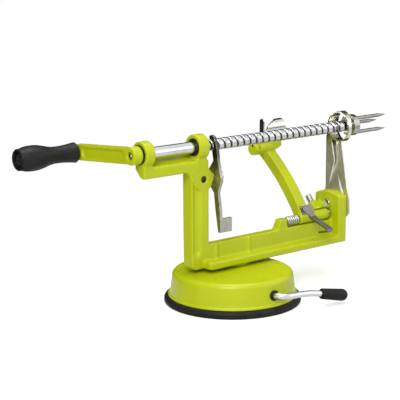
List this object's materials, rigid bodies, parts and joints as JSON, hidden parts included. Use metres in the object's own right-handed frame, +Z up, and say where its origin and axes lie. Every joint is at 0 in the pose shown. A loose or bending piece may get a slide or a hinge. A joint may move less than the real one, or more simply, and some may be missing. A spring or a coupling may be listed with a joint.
{
  "type": "apple peeler",
  "caption": "Hand cranked apple peeler on a round suction base: a screw feeds the fruit past a sprung peeling blade and through a coring ring with a slicing plate.",
  "frame": {"origin": "middle of the rubber pad's underside, on the table", "axes": "+X along the screw toward the fork, +Y away from the user, +Z up"},
  "size_m": [0.3329, 0.1656, 0.1418],
  "materials": {
    "green_paint": "gloss lime green paint",
    "black_rubber": "matte",
    "black_plastic": "matte",
    "chrome_steel": "polished",
    "zinc_steel": "zinc plated",
    "stainless": "polished stainless",
    "dark_steel": "dull steel"
  },
  "bodies": {
    "stand": {"frame": "green_paint", "base_drum": "green_paint", "suction_pad": "black_rubber", "rod_grommets": "black_plastic", "frame_screws": "zinc_steel", "front_bush": "black_plastic", "rear_bush": "black_plastic", "lever_pin": "zinc_steel", "lock_screw": "zinc_steel", "lever_clip": "zinc_steel", "lever_spring": "zinc_steel", "arm_pin": "zinc_steel", "arm_pin_clip": "zinc_steel", "arm_spring": "zinc_steel", "stop_bolt": "zinc_steel", "slicer": "stainless", "slicer_screws": "zinc_steel", "slicer_nuts": "zinc_steel"},
    "feed_washer": {"thrust_washer": "black_plastic"},
    "crank": {"lead_screw": "chrome_steel", "crank_arm": "green_paint", "hub_pin": "zinc_steel", "grip_spindle": "zinc_steel", "fork_hub": "stainless", "prongs": "stainless"},
    "hand_grip": {"grip": "black_plastic"},
    "release": {"release_lever": "dark_steel"},
    "peeler": {"peeler_arm": "green_paint", "peel_blade": "stainless", "blade_screws": "zinc_steel", "thumb_lever": "dark_steel", "thumb_rivets": "zinc_steel"},
    "suction_lever": {"cam_rod": "chrome_steel", "lever_tip": "black_plastic"},
    "stud": {"pad_stud": "zinc_steel"}
  },
  "joints": [
    {"name": "screw_feed", "type": "slide", "parent": "stand", "child": "feed_washer", "axis": [1, 0, 0], "range_m": [-0.1293, 0]},
    {"name": "crank_turn", "type": "hinge", "parent": "feed_washer", "child": "crank", "pos_m": [0, 0.012, 0.1286], "axis": [1, 0, 0], "range_deg": [-6840, 0]},
    {"name": "grip_spin", "type": "hinge", "parent": "crank", "child": "hand_grip", "pos_m": [-0.12, 0.085, 0.12196], "axis": [1, 0, 0], "continuous": true},
    {"name": "release_press", "type": "hinge", "parent": "stand", "child": "release", "pos_m": [-0.01245, 0.012, 0.1026], "axis": [1, 0, 0], "range_deg": [0, 10], "stiffness_Nm_per_rad": 0.05, "springref_deg": -28.65},
    {"name": "peeler_swing", "type": "hinge", "parent": "stand", "child": "peeler", "pos_m": [0.088, 0.01, 0.054], "axis": [-1, 0, 0], "range_deg": [0, 35], "stiffness_Nm_per_rad": 0.3, "springref_deg": -45.84},
    {"name": "suction_turn", "type": "hinge", "parent": "stand", "child": "suction_lever", "pos_m": [0, -0.05, 0.015], "axis": [0, -1, 0], "range_deg": [0, 175]},
    {"name": "stud_lift", "type": "slide", "parent": "stand", "child": "stud", "axis": [0, 0, 1], "range_m": [0, 0.004]}
  ],
  "couplings": [
    {"joint": "screw_feed", "follows": "crank_turn", "m_per_rad": 0.0010823},
    {"joint": "stud_lift", "follows": "suction_turn", "m_per_rad": 0.0013095}
  ]
}
